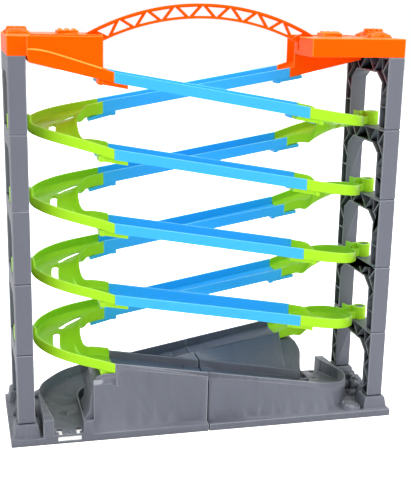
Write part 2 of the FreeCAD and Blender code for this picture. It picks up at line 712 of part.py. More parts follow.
def top_deck(name):
    """The right deck, its chute at the back. Height 0 is the top of the tower."""
    body = new_body(name)
    plan = sketch_on(body, name + "_plan", "XY_Plane")
    outline(plan, [
        (TOWER_OUTER_X, "-tower_outer_y"), (TOWER_OUTER_X, "tower_outer_y"),
        (CHUTE_TOP_X, "tower_outer_y"), (CHUTE_TOP_X, LANE_FACE_Y),
        (DECK_END_X, LANE_FACE_Y), (DECK_END_X, "-deck_step_y"),
        ("low_joint_x", "-deck_step_y"), ("low_joint_x", "-tower_outer_y"),
    ])
    pad(body, plan, "deck_height")
    hollow = sketch_on(body, name + "_hollow", "XY_Plane")
    cap_in, cap_out = "(%s + shell)" % CHUTE_TOP_X, "(%s - shell)" % TOWER_OUTER_X
    side, near = "(tower_outer_y - shell)", "-(%s + shell)" % SOCKET_Y
    outline(hollow, [(cap_in, "-%s" % side), (cap_out, "-%s" % side),
                     (cap_out, side), (cap_in, side)])
    socket_end = "(%s + shell)" % SOCKET_X
    outline(hollow, [
        (CHUTE_TOP_X, "-%s" % side), (CHUTE_TOP_X, "lane_inner_y"),
        (socket_end, "lane_inner_y"), (socket_end, near),
        ("%s + shell" % DECK_END_X, near), ("%s + shell" % DECK_END_X, "-deck_step_y - shell"),
        ("low_joint_x + shell", "-deck_step_y - shell"), ("low_joint_x + shell", "-%s" % side),
    ])
    pocket(body, hollow, "deck_height - shell", backwards=True)

    # the chute: floor, low wall by the deck, outer wall with its ledge, and the tall plate
    bottom = [("low_joint_x", UNDER_LOW_JOINT), (CHUTE_TOP_X, CHUTE_TOP_UNDER)]
    floor_top = [(CHUTE_TOP_X, "%s + lane_floor" % CHUTE_TOP_UNDER),
                 ("low_joint_x", "%s + lane_floor" % UNDER_LOW_JOINT)]
    chute_wall(body, name + "_floor", "lane_inner_y", "lane_outer_low_y - lane_inner_y",
               bottom + floor_top)
    near_rim = "(chute_slope * deck_step - low_rim_drop)"
    chute_wall(body, name + "_near_wall", "lane_inner_y", "wall", bottom + [
        (CHUTE_TOP_X, "shell"), (DECK_END_X, "shell"), (DECK_END_X, near_rim),
        ("low_joint_x", "-low_rim_drop")])
    chute_wall(body, name + "_outer_wall", "lane_outer_low_y - wall", "wall", bottom + [
        (CHUTE_TOP_X, "ledge_top"), ("ledge_bend_x", "ledge_bend"),
        ("low_joint_x", "-low_rim_drop")])
    chute_wall(body, name + "_tall_plate", "lane_outer_low_y - wall", "wall - plate_set_back", [
        (CHUTE_TOP_X, CHUTE_TOP_UNDER), (CHUTE_TOP_X, "deck_height"),
        ("plate_start_x", "deck_height"), ("plate_start_x", UNDER_LOW_JOINT + " + plate_root")])
    chute_wall(body, name + "_end_wall", "lane_inner_y", "lane_outer_low_y - lane_inner_y", [
        ("%s - shell / 2" % CHUTE_TOP_X, CHUTE_TOP_UNDER), (CHUTE_TOP_X, CHUTE_TOP_UNDER),
        ("%s + shell" % CHUTE_TOP_X, "shell / 2"), ("%s + shell" % CHUTE_TOP_X, "deck_height"),
        ("%s - shell / 2" % CHUTE_TOP_X, "deck_height")])
    root, tip = "(low_joint_x + curve_tongue_root)", "(low_joint_x - curve_tongue_reach)"
    under = "(%s - fit_gap)" % UNDER_LOW_JOINT
    at_root = "(%s + %s * curve_tongue_root)" % (under, STRAIGHT_SLOPE)
    at_tip = "(%s - %s * curve_tongue_reach)" % (under, STRAIGHT_SLOPE)
    chute_wall(body, name + "_tongue", "lane_outer_low_y - tongue_inset - tongue_width",
               "tongue_width", [
                   (root, "%s - tongue_thickness" % at_root), (root, "%s + lane_floor" % at_root),
                   ("low_joint_x", "%s + lane_floor / 2" % UNDER_LOW_JOINT),
                   ("low_joint_x", under), (tip, at_tip), (tip, "%s - tongue_thickness" % at_tip)])
    fall = "(%s * collar_length)" % STRAIGHT_SLOPE
    bottom = "(%s - tongue_thickness - collar_step)" % at_root
    chute_wall(body, name + "_collar",
               "lane_outer_low_y - tongue_inset - tongue_width - collar_step",
               "tongue_width + 2 * collar_step", [
                   (root, bottom), (root, "%s + lane_floor" % at_root),
                   ("%s - collar_length" % root, "%s + lane_floor - %s" % (at_root, fall)),
                   ("%s - collar_length" % root, "%s - %s" % (bottom, fall))])

    socket = sketch_on(body, name + "_arch_socket", "XY_Plane", "deck_height")
    outline(socket, [("low_joint_x", "-%s" % SOCKET_Y), (SOCKET_X, "-%s" % SOCKET_Y),
                     (SOCKET_X, SOCKET_Y), ("low_joint_x", SOCKET_Y)])
    pocket(body, socket, "deck_height - %s + arch_gap" % ARCH_FOOT)
    groove = sketch_on(body, name + "_edge_groove", "XY_Plane", "deck_height")
    outline(groove, rectangle("(%s + low_joint_x) / 2" % TOWER_OUTER_X, "4 * rib - tower_outer_y",
                              "%s - low_joint_x - 8 * rib" % TOWER_OUTER_X, "rib"))
    pocket(body, groove, "groove_depth")

    # moulded vents: a small ribbed block, and a hub with an eight-sided slotted dome
    ribbed = sketch_on(body, name + "_ribbed_block", "XY_Plane", "deck_height - shell / 2")
    outline(ribbed, rectangle("ribbed_block_x", "0", "ribbed_block_length", "ribbed_block_width"))
    pad(body, ribbed, "ribbed_block_height + shell / 2", taper="-block_taper")
    ridges = sketch_on(body, name + "_ridges", "XY_Plane", "deck_height + ribbed_block_height / 2")
    for step in (-1, 0, 1):
        outline(ridges, rectangle("ribbed_block_x + %d * vent_rib_pitch" % step, "0",
                                  "vent_rib", "ribbed_block_width - 4 * rib"))
    pad(body, ridges, "ribbed_block_height / 2 + vent_rib_height", taper="-vent_rib_taper")
    hub = sketch_on(body, name + "_hub", "XY_Plane", "deck_height - shell / 2")
    outline(hub, rectangle("hub_x", "0", "hub_length", "hub_width"))
    pad(body, hub, "hub_height + shell / 2", taper="-hub_taper")
    dome = sketch_on(body, name + "_dome", "XY_Plane", "deck_height + hub_height / 2")
    eight = [("hub_x + dome_radius * cos(%d * 45 + 22.5)" % step,
              "dome_radius * sin(%d * 45 + 22.5)" % step) for step in range(8)]
    outline(dome, eight)
    pad(body, dome, "dome_height + hub_height / 2", taper="-dome_taper")
    slots = sketch_on(body, name + "_dome_slots", "XY_Plane", "deck_height + hub_height + dome_height")
    for step in range(8):
        near_x = "hub_x + dome_slot_start * cos(%d * 45)" % step
        near_y = "dome_slot_start * sin(%d * 45)" % step
        far_x = "hub_x + dome_slot_end * cos(%d * 45)" % step
        far_y = "dome_slot_end * sin(%d * 45)" % step
        aside_x = "dome_slot_width / 2 * sin(%d * 45)" % step
        aside_y = "dome_slot_width / 2 * cos(%d * 45)" % step
        outline(slots, [("%s + %s" % (near_x, aside_x), "%s - %s" % (near_y, aside_y)),
                        ("%s + %s" % (far_x, aside_x), "%s - %s" % (far_y, aside_y)),
                        ("%s - %s" % (far_x, aside_x), "%s + %s" % (far_y, aside_y)),
                        ("%s - %s" % (near_x, aside_x), "%s + %s" % (near_y, aside_y))])
    pocket(body, slots, "dome_slot_depth")
    return body


# arch: a truss of two chords and zigzag struts, its feet in the decks' sockets

def arch_point(radius, centre_z, angle):
    return Vector(radius * math.sin(angle), 0, centre_z + radius * math.cos(angle))


def arch_band(top_radius, top_centre, low_radius, low_centre, width):
    """The flat band between two arcs, cut upright at the feet and centred on y = 0."""
    end = size.arch_end_x

    def spot(radius, centre, x):
        return Vector(x, -width / 2, centre + math.sqrt(radius ** 2 - x ** 2))
    top = [spot(top_radius, top_centre, x) for x in (-end, 0, end)]
    low = [spot(low_radius, low_centre, x) for x in (end, 0, -end)]
    edges = [Part.Arc(*top).toShape(), Part.makeLine(top[2], low[0]),
             Part.Arc(*low).toShape(), Part.makeLine(low[2], top[0])]
    return Part.Face(Part.Wire(edges)).extrude(Vector(0, width, 0))


def inset_corners(corners, insets):
    """A triangle's corners after each side has moved inwards by its own inset."""
    centre = (corners[0] + corners[1] + corners[2]) / 3
    sides = []
    for index, inset in enumerate(insets):
        start, end = corners[index], corners[(index + 1) % 3]
        way = (end - start).normalize()
        inwards = Vector(-way.z, 0, way.x)
        if inwards.dot(centre - start) < 0:
            inwards = -inwards
        sides.append((start + inwards * inset, way))
    met = []
    for index in range(3):
        start, way = sides[index - 1]
        other, other_way = sides[index]
        share = ((other.x - start.x) * other_way.z - (other.z - start.z) * other_way.x) / (
            way.x * other_way.z - way.z * other_way.x)
        met.append(start + way * share)
    return met


def arch_shape():
    """The arch at rest. Height 0 is the top of the towers."""
    crown = size.deck_height + size.arch_crown
    top_centre = crown - size.arch_top_radius
    low_centre = crown - size.arch_depth - size.arch_bottom_radius
    chord = size.arch_chord
    web = arch_band(size.arch_top_radius, top_centre, size.arch_bottom_radius, low_centre,
                    size.arch_web)
    top_chord = arch_band(size.arch_top_radius, top_centre, size.arch_top_radius - chord,
                          top_centre, size.arch_width)
    low_chord = arch_band(size.arch_bottom_radius + chord, low_centre, size.arch_bottom_radius,
                          low_centre, size.arch_width)
    pitch = size.arch_pitch / size.arch_top_radius

    def node(step):
        on_top = step % 2 == 0
        if on_top:
            return arch_point(size.arch_top_radius, top_centre, step * pitch)
        return arch_point(size.arch_bottom_radius, low_centre, step * pitch)
    half = ARCH_HOLES // 2
    holes, ridges = [], []
    across = Vector(0, size.arch_width, 0)
    for step in range(-half, half + 1):
        corners = [node(step - 1), node(step), node(step + 1)]
        strut = size.arch_strut / 2
        inner = inset_corners(corners, (strut, strut, chord + size.arch_hole_set_back))
        hole = Part.Face(closed([corner - across / 2 for corner in inner]))
        holes.append(hole.extrude(across))
    ridge_width = size.arch_web + size.arch_ridge
    for step in range(-half - 1, half + 1):
        start, end = node(step), node(step + 1)
        way = (end - start).normalize()
        aside = Vector(-way.z, 0, way.x) * size.arch_ridge / 2
        start, end = start + way * chord, end - way * chord
        points = [start + aside, end + aside, end - aside, start - aside]
        ridge = Part.Face(closed([point - Vector(0, ridge_width / 2, 0) for point in points]))
        ridges.append(ridge.extrude(Vector(0, ridge_width, 0)))
    return web.fuse([top_chord, low_chord]).cut(holes).fuse(ridges).removeSplitter()


# base: two halves alike. Each is a hollow plate with plinths for one tower, the lower part of one
# ramp and the upper part of the other, the web between them, a bowl and its exit, and some rocks.

BOWL_STATIONS = 6
SKIRT_STATIONS = 6
# the skirt's start as a share of the ramp's length, and the degrees that it goes on round the bowl
SKIRT_START = 0.2
SKIRT_TURN = 60
ROCKS = 9
ROCK_SIDES = 6
# the seat's rounded end in side view: x from its end and z from its top
SEAT_ROUND = ((-11, 0), (-4, -3), (-1, -8), (0, -14), (3, -28))
# below it, a point of the slope down to the kerb: x from the seat's end and z over the kerb
SEAT_TOE = (5, 8)
# the end of the web's front side: x from where its fall begins and z from there, down to the bowl
WEB_FALL = ((0, 0), (9, -5), (13, -15))

seam = size.seam_gap / 2
plate_edge = size.tower_outer_y + size.base_side_margin
plate_end = tower_outer_x + size.base_end_margin
root_z = size.plate_height - size.shell / 2
ramp_top = plinth_top + size.segment_height - size.low_rim_drop
ramp_length = size.low_joint_x + size.ramp_end_x
quarter = math.pi / 2 * size.bowl_radius
joint_face = size.low_joint_x - size.fit_gap / 2
seat_top = ramp_top - size.low_wall_height - size.fit_gap
seat_end = size.low_joint_x + size.seat_length
exit_face_x = size.ramp_end_x + size.bowl_radius


def down_ramp(x):
    """Share of the front ramp's length, from the left joint at its top, that is passed at x."""
    return (x + size.low_joint_x) / ramp_length


def ramp_rim(x):
    return ramp_top + (size.bowl_rim - ramp_top) * down_ramp(x)


def ramp_floor(x):
    start = size.low_wall_height - size.lane_floor
    return ramp_rim(x) - start - (size.ramp_depth - start) * down_ramp(x)


def ramp_outer(x):
    return size.lane_outer_low_y + (size.bowl_radius - size.lane_outer_low_y) * down_ramp(x)


def half_turned(shape):
    turned = shape.copy()
    turned.rotate(Vector(0, 0, 0), Vector(0, 0, 1), 180)
    return turned


def stepped_wall(thickness, rim):
    """An outer wall from its root up and over to its inner edge, its top strip set back."""
    ledge = rim - size.ledge_drop
    return [(0, root_z), (0, ledge), (size.ledge_depth, ledge), (size.ledge_depth, rim),
            (thickness, rim)]


def ramp_section(x):
    """The front ramp's upright section at x, closed down to the plate."""
    outer, inner, floor = ramp_outer(x), size.lane_inner_y, ramp_floor(x)
    inner_rim = ramp_rim(x) - size.inner_rim_lift
    corners = [(across - outer, z) for across, z in stepped_wall(size.wall, ramp_rim(x))]
    corners += [(size.wall - outer, floor), (-inner - size.wall, floor),
                (-inner - size.wall, inner_rim), (-inner, inner_rim), (-inner, root_z)]
    return closed([Vector(x, y, z) for y, z in corners])


def under_ramp(x):
    """Section of the space under the front ramp's floor."""
    top = ramp_floor(x) - size.lane_floor
    outer, inner = ramp_outer(x) - size.wall, size.lane_inner_y + size.wall
    return closed([Vector(x, -outer, -1), Vector(x, -outer, top), Vector(x, -inner, top),
                   Vector(x, -inner, -1)])


def floor_groove(x, width):
    """A groove across the front ramp's floor, where the next half's floor laps over."""
    outer, inner = ramp_outer(x) - size.wall, size.lane_inner_y + size.wall
    return block((x - width / 2, x + width / 2), (-outer, -inner),
                 (ramp_floor(x) - width / 2, ramp_floor(x) + size.wall))


def skirt_section(foot, way, reach, rim):
    """The flared foot's upright section: way points outwards from the wall."""
    back = foot - way * size.wall / 2
    top = min(rim, seat_top) - 3 * size.wall
    return closed([back + Vector(0, 0, root_z), foot + way * reach + Vector(0, 0, root_z),
                   back + Vector(0, 0, top)])


def ramp_skirt(end):
    """The foot along the front ramp's outer wall, flaring from the middle of the base to an end."""
    wires = []
    for step in range(1, SKIRT_STATIONS + 1):
        share = step / SKIRT_STATIONS
        x = end * (SKIRT_START + (1 - SKIRT_START) * share)
        reach = size.foot_flare * (3 - 2 * share) * share ** 2
        reach = min(reach, plate_edge - size.plate_chamfer - ramp_outer(x))
        wires.append(skirt_section(Vector(x, -ramp_outer(x), 0), Vector(0, -1, 0), reach,
                                   ramp_rim(x)))
    return loft(wires)


def bowl_skirt():
    """The same foot going on round the bowl, where it dies away."""
    wires = []
    for step in range(SKIRT_STATIONS):
        angle = math.radians(SKIRT_TURN * step / (SKIRT_STATIONS - 1))
        way = Vector(math.sin(angle), -math.cos(angle), 0)
        foot = Vector(size.ramp_end_x, 0, 0) + way * size.bowl_radius
        reach = size.foot_flare * (1 + math.cos(math.pi * step / (SKIRT_STATIONS - 1))) / 2
        wires.append(skirt_section(foot, way, reach, bowl_rim(angle * size.bowl_radius)))
    return loft(wires)


def web_side(y, top, bend, end, inset):
    """The web's outline on one side: up at the seam, along its top, round its end and down."""
    start = seam + inset
    top = [Vector(max(x, start), y, z - inset) for x, z in top]
    bend, end = [Vector(x - inset, y, z - inset) for x, z in (bend, end)]
    low = -1 if inset else root_z
    left, right = Vector(start, y, low), Vector(end.x, y, low)
    edges = [Part.makeLine(left, top[0])]
    edges += [Part.makeLine(first, second) for first, second in zip(top, top[1:])]
    edges += [Part.Arc(top[-1], bend, end).toShape(), Part.makeLine(end, right),
              Part.makeLine(right, left)]
    return Part.Wire(edges)


def web_fall():
    """The 3 points of the arc by which the web's front side and the ramp's inner wall end."""
    top = ramp_rim(size.web_end_x) - size.inner_rim_lift
    return [(size.web_end_x + x, top + z) for x, z in WEB_FALL]


def seat_round():
    return [(seat_end + x, seat_top + z) for x, z in SEAT_ROUND]


def web(inset=0.0):
    """The web between the ramps. Its top twists from the front rim to the higher back one."""
    lift, joint = size.inner_rim_lift, size.low_joint_x
    fall, bulge = web_fall(), seat_round()
    front_rims = [(x, ramp_rim(x) - lift) for x in (seam, joint_face, joint)]
    back_rims = [(seam, ramp_rim(-seam) - lift), (joint_face, ramp_rim(-joint) - lift),
                 (joint, seat_top)]
    front = web_side(-size.lane_inner_y, front_rims + fall[:1], fall[1], fall[2], inset)
    back = web_side(size.lane_inner_y, back_rims + bulge[:1], bulge[2], bulge[4], inset)
    return loft([front, back])


def above_fall():
    """What is cut from the end of the front ramp's inner wall, so that it ends in the web's arc."""
    start, bend, end = [Vector(x, 0, z) for x, z in web_fall()]
    far, high = Vector(size.ramp_end_x + 1, 0, 0), Vector(0, 0, ramp_top)
    corners = [end, Vector(far.x, 0, end.z), far + high, Vector(start.x, 0, 0) + high, start]
    edges = [Part.Arc(start, bend, end).toShape()]
    edges += [Part.makeLine(first, second) for first, second in zip(corners, corners[1:])]
    face = Part.Face(Part.Wire(edges))
    face.translate(Vector(0, -size.lane_inner_y - size.wall, 0))
    return face.extrude(Vector(0, size.wall + 1, 0))


def seat():
    """The hollow block past the back ramp's joint, under the low end of the lowest curve."""
    near, far = size.lane_inner_y, size.lane_outer_low_y
    skin, step, front = size.shell, size.ledge_depth, joint_face - size.shell
    bulge = seat_round()
    body = slab([(front, root_z), (front, seat_top)] + bulge
                + [(seat_end + SEAT_TOE[0], size.kerb_height + SEAT_TOE[1]),
                   (size.kerb_x, size.kerb_height), (size.kerb_x, root_z)], (near, far))
    body = body.cut(block((joint_face, seat_end + 1), (far - step, far + 1),
                          (size.seat_ledge, seat_top + 1)))
    kerb = block((seat_end, size.kerb_x), (far - 1, plate_edge), (root_z, size.kerb_height))
    room = slab([(front - skin, -1), (front - skin, seat_top - skin)]
                + [(x - skin, z - skin) for x, z in bulge[:4:3]] + [(seat_end - skin, -1)],
                (near + size.wall, far - size.wall))
    outer = far - size.tongue_inset + size.collar_step + size.fit_gap
    inner = outer - size.tongue_width - 2 * (size.collar_step + size.fit_gap)
    slot = block((front, joint_face + size.curve_tongue_root + 2 * size.fit_gap), (inner, outer),
                 (seat_top - size.tongue_thickness - size.wall, seat_top + 1))
    return [body, kerb], [room, slot]


def bowl_rim(run):
    """Height of the bowl's rim, by the length run along its outer wall."""
    slope = (ramp_rim(0) - size.bowl_rim) / size.ramp_end_x
    rim = size.bowl_rim - slope * min(run, quarter / 2)
    if run > quarter / 2:
        rim += (size.exit_rim - rim) * (run - quarter / 2) / (quarter / 2 + plate_edge)
    return rim


def bowl_section(run):
    """The bowl's upright section, by the length run along its outer wall."""
    length = quarter + plate_edge
    share = run / length
    bend = size.kerb_x - size.web_end_x - WEB_FALL[2][0]
    inner_centre = Vector(size.kerb_x - bend, bend - size.lane_inner_y, 0)
    if run <= quarter:
        angle = run / size.bowl_radius
        way = Vector(math.sin(angle), -math.cos(angle), 0)
        outer = Vector(size.ramp_end_x, 0, 0) + way * size.bowl_radius
        inner = inner_centre + way * bend
        thick = size.wall
    else:
        part = (run - quarter) / plate_edge
        outer = Vector(exit_face_x, part * plate_edge, 0)
        inner = Vector(size.kerb_x, inner_centre.y + part * (plate_edge - inner_centre.y), 0)
        thick = size.wall + part * (size.exit_wall - size.wall)
    start = ramp_floor(size.ramp_end_x)
    floor = start + (size.exit_floor - start) * share
    kerb_start = start + size.wall / 2
    kerb = kerb_start + (size.kerb_height - kerb_start) * share
    across = (inner - outer).normalize()
    width = inner.distanceToPoint(outer)
    corners = stepped_wall(thick, bowl_rim(run))
    corners += [(thick, floor), (width - size.wall, floor), (width - size.wall, kerb),
                (width, kerb), (width, root_z)]
    return closed([outer + across * reach + Vector(0, 0, z) for reach, z in corners])


def plinth(y):
    """One leg's tapered plinth with a chamfered top, and the socket for the foot's spigot."""
    middle_x = tower_inner_x + size.leg_width / 2
    wires = []
    for margin, z in ((size.plinth_foot_margin, root_z),
                      (size.plinth_top_margin, plinth_top - size.plinth_chamfer),
                      (size.plinth_top_margin - size.plinth_chamfer, plinth_top)):
        half_x, half_y = size.leg_width / 2 + margin, size.leg_depth / 2 + margin
        wires.append(closed([Vector(middle_x + i * half_x, y + j * half_y, z)
                             for i, j in ((-1, -1), (1, -1), (1, 1), (-1, 1))]))
    half_x = size.leg_width / 2 - size.shell
    half_y = size.leg_depth / 2 - size.shell
    socket = block((middle_x - half_x, middle_x + half_x), (y - half_y, y + half_y),
                   (plinth_top - size.foot_spigot - size.fit_gap, plinth_top + 1))
    return loft(wires).cut(socket)


def rock(index):
    """One faceted stone of the pile: a loft between two uneven outlines."""
    y = (index - (ROCKS - 1) / 2) * size.rock_radius
    x = tower_inner_x + size.leg_width * (0.35 + 0.3 * math.sin(2.1 * index))
    height = size.rock_height * (0.62 + 0.38 * math.cos(1.7 * index))
    radius = size.rock_radius * (1 + 0.2 * math.sin(3.7 * index))
    wires = []
    for share, z in ((1.0, root_z), (0.55, size.plate_height + height)):
        points = []
        for corner in range(ROCK_SIDES):
            angle = 0.7 * index + corner * 2 * math.pi / ROCK_SIDES
            reach = radius * share * (1 + 0.22 * math.sin(2.3 * corner + 3.5 * index))
            points.append(Vector(x + reach * math.cos(angle), y + reach * math.sin(angle), z))
        wires.append(closed(points))
    return loft(wires)


def plate():
    """The plate with its chamfered top edge, hollow below, and the clips that join the halves."""
    body = block((seam, plate_end), (-plate_edge, plate_edge), (0, size.plate_height))
    rims = [edge for edge in body.Edges
            if edge.BoundBox.ZMin > size.plate_height / 2 and edge.BoundBox.XMax > seam + 1]
    body = body.makeChamfer(size.plate_chamfer, rims)
    skin = size.shell
    tray = block((seam + skin, plate_end - skin), (skin - plate_edge, plate_edge - skin),
                 (-1, size.plate_height - skin))
    clip_top = size.plate_height - skin - size.fit_gap
    far = size.clip_y + size.clip_width
    clip = block((-size.clip_reach, seam + skin), (-far, -size.clip_y),
                 (clip_top - size.tongue_thickness, clip_top))
    slot = block((seam - 1, seam + skin + 1), (size.clip_y - size.fit_gap, far + size.fit_gap),
                 (clip_top - size.tongue_thickness - size.fit_gap, clip_top + size.fit_gap))
    return body.cut(tray), clip, slot


def exit_holes():
    """The exit's slot in the front wall, the room under its floor, and the floor's 4 holes."""
    middle = (size.kerb_x + exit_face_x - size.exit_wall) / 2
    deep = (size.plate_height / 2, 3 * size.plate_height)
    half = size.exit_slot_length / 2
    holes = [block((middle - half, middle + half),
                   (plate_edge - size.exit_slot_depth, plate_edge + 1),
                   (size.exit_slot_low, size.exit_slot_low + size.exit_slot_height))]
    holes.append(block((size.kerb_x + size.wall, exit_face_x - size.exit_wall),
                       (plate_edge - size.exit_room, plate_edge - size.shell),
                       (-1, size.exit_floor - size.shell)))
    back = plate_edge - size.latch_back
    for way in (-1, 1):
        inner = middle + way * size.latch_x
        holes.append(block(sorted((inner, inner + way * size.latch_width)),
                           (back, plate_edge - size.latch_step), deep))
        holes.append(block(sorted((inner, inner + way * size.latch_leg_width)),
                           (back, plate_edge - size.latch_leg_end), deep))
    for set_back in (size.drain_front, size.drain_back):
        foot = Vector(middle, plate_edge - set_back, deep[0])
        holes.append(Part.makeCylinder(size.drain_radius, deep[1], foot))
    return holes


def disc():
    """A low round button with a groove inside its rim, tilted towards the plinth."""
    top = size.plate_height + size.disc_height
    groove_out = size.disc_radius - size.disc_rim
    groove_in = groove_out - size.disc_groove
    low = Vector(0, 0, -size.disc_groove / 2)
    groove = Part.makeCylinder(groove_out, size.disc_groove, low)
    groove = groove.cut(Part.makeCylinder(groove_in, size.disc_groove, low))
    button = Part.makeCylinder(size.disc_radius, top, Vector(0, 0, -top)).cut(groove)
    button.rotate(Vector(0, 0, 0), Vector(0, 1, 0), size.disc_tilt)
    button.translate(Vector(size.disc_x, -size.disc_y, top))
    return button.common(block((seam, plate_end), (-plate_edge, plate_edge), (root_z, plinth_top)))


def base_shape():
    """The right half of the base, from its seam at x = 0."""
    front = loft([ramp_section(x) for x in (seam, size.ramp_end_x)]).cut(above_fall())
    front_room = loft([under_ramp(x) for x in (seam + size.shell, size.ramp_end_x - size.shell)])
    back = half_turned(loft([ramp_section(x) for x in (-joint_face, -seam)]))
    back_room = half_turned(loft([under_ramp(x) for x in (-joint_face, -seam - size.shell)]))
    turns = [quarter * step / BOWL_STATIONS for step in range(BOWL_STATIONS + 1)]
    turn = loft([bowl_section(run) for run in turns], ruled=False)
    way_out = loft([bowl_section(quarter), bowl_section(quarter + plate_edge)])
    seat_solids, seat_rooms = seat()
    plate_body, clip, clip_slot = plate()
    leg_y = size.tower_outer_y - size.leg_depth / 2
    solids = [clip, front, back, web(), ramp_skirt(size.ramp_end_x), bowl_skirt(),
              half_turned(ramp_skirt(-seat_end)), turn, way_out, disc(),
              plinth(leg_y), plinth(-leg_y)] + seat_solids
    solids += [rock(index) for index in range(ROCKS)]
    grooves = [floor_groove(size.floor_groove_x, size.floor_groove / 2),
               half_turned(floor_groove(-size.floor_groove_x, size.floor_groove))]
    rooms = [front_room, back_room, web(size.shell), clip_slot] + seat_rooms
    shape = plate_body.fuse(solids).cut(rooms + grooves + exit_holes())
    return shape.removeSplitter()


FOOT_SEGMENT = tower_segment("foot_segment", is_foot=True)
MIDDLE_SEGMENT = tower_segment("middle_segment")
TOP_SEGMENT = tower_segment("top_segment", is_top=True)
STRAIGHT = straight("straight")
CURVE = worked_out("curve", curve_shape())
TOP_DECK = top_deck("top_deck")
ARCH = worked_out("truss", arch_shape())
BASE_HALF = worked_out("base_half", base_shape())

for side in ("left", "right"):
    left = side == "left"
    place("base_%s" % side, BASE_HALF, "0", turned=left)
    for number in range(1, SEGMENTS + 1):
        design = {1: FOOT_SEGMENT, SEGMENTS: TOP_SEGMENT}.get(number, MIDDLE_SEGMENT)
        height = level_height(SEGMENTS - number)
        place("%s_tower_segment_%d" % (side, number), design, height, turned=left)
    for level in range(1, LEVELS + 1):
        place("%s_curve_%d" % (side, level), CURVE, level_height(level), turned=not left)
    place("%s_platform" % side, TOP_DECK, level_height(0), turned=left)
for level in range(LEVELS):
    place("front_straight_%d" % level, STRAIGHT, level_height(level))
    place("back_straight_%d" % level, STRAIGHT, level_height(level), turned=True)
place("arch", ARCH, level_height(0))

doc.recompute()
for item in doc.Objects:
    if "Invalid" in item.State or "Error" in item.State:
        raise RuntimeError("%s did not compute" % item.Label)
os.makedirs("parts", exist_ok=True)
for piece in pieces:
    if piece.Shape.isNull() or not piece.Shape.isValid() or len(piece.Shape.Solids) != 1:
        raise RuntimeError("%s has no single valid solid" % piece.Label)
for piece in pieces:
    piece.Shape.exportStep("parts/%s.step" % piece.Label)
    print("%s %.0f mm3" % (piece.Label, piece.Shape.Volume))
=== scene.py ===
import math

import bmesh
import bpy
from mathutils import Matrix, Vector, noise
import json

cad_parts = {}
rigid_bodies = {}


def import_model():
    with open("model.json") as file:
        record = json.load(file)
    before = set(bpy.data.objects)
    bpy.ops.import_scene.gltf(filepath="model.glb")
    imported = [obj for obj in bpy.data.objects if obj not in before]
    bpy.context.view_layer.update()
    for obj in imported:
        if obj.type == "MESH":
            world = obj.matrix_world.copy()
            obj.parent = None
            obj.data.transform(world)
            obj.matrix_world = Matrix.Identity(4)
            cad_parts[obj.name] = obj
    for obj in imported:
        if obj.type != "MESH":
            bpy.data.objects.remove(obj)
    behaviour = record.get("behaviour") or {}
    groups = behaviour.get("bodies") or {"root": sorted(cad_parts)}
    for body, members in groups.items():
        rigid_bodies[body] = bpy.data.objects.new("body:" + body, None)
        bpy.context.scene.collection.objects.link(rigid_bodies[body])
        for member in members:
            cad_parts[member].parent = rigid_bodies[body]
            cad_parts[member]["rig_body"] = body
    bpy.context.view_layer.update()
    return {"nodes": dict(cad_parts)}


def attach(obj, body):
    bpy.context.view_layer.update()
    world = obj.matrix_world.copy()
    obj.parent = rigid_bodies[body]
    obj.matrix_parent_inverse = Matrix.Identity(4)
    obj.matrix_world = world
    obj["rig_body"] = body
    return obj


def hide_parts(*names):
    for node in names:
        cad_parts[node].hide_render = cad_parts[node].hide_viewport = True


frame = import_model()

# The camera stands a little above the track and to its left, as in the photograph, and looks at
# it through a lens whose centre is shifted by a few pixels.

CAMERA_PLACE = Vector((-0.26618, -1.06907, 0.47827))
CAMERA_TURN = 0.2432
CAMERA_TILT = 0.2586
CAMERA_ROLL = 0.0185
SENSOR_WIDTH = 36
LONG_SIDE = 500
FOCAL_LENGTH = 972.08
LENS_CENTRE_SHIFT = (8.1, 9.83)


def in_scene(name, data):
    """A new object in the scene for a mesh, lamp or camera."""
    made = bpy.data.objects.new(name, data)
    bpy.context.scene.collection.objects.link(made)
    return made


camera_data = bpy.data.cameras.new("camera")
camera_data.sensor_width = SENSOR_WIDTH
camera_data.lens = SENSOR_WIDTH * FOCAL_LENGTH / LONG_SIDE
camera_data.shift_x = LENS_CENTRE_SHIFT[0] / LONG_SIDE
camera_data.shift_y = LENS_CENTRE_SHIFT[1] / LONG_SIDE
camera = in_scene("camera", camera_data)
turned = Matrix.Rotation(-CAMERA_TURN, 4, "Z")
tilted = Matrix.Rotation(math.pi / 2 - CAMERA_TILT, 4, "X")
rolled = Matrix.Rotation(CAMERA_ROLL, 4, "Z")
camera.matrix_world = Matrix.Translation(CAMERA_PLACE) @ turned @ tilted @ rolled
bpy.context.scene.camera = camera
bpy.context.scene.view_settings.view_transform = "Standard"


# The track stands on a white sheet in soft light from all round, the strongest from the right.
# The sheet and the world look white to the camera and in gloss, and the sheet keeps the shadow.

SHEET_SIZE = 12.0
SHEET_COLOUR = (0.86, 0.86, 0.86, 1)
SHEET_GLOW = 0.9
WORLD_LEVEL = 0.9
LAMPS = (
    ("key", (0.85, -1.0, 0.95), 1.2, 7.0),
    ("top", (0.1, 0.0, 2.2), 1.6, 42.0),
    ("back", (0.6, 2.6, 1.6), 2.4, 8.0),
)
LAMP_TARGET = Vector((0, 0, 0.22))


class Value:
    """A socket of a finish's nodes. Sums and products of it add Math nodes."""

    def __init__(self, finish, socket):
        self.finish = finish
        self.socket = socket

    def math(self, operation, other):
        return self.finish.node("ShaderNodeMath", {"operation": operation}, {0: self, 1: other})

    def __add__(self, other):
        return self.math("ADD", other)

    __radd__ = __add__

    def __mul__(self, other):
        return self.math("MULTIPLY", other)

    __rmul__ = __mul__


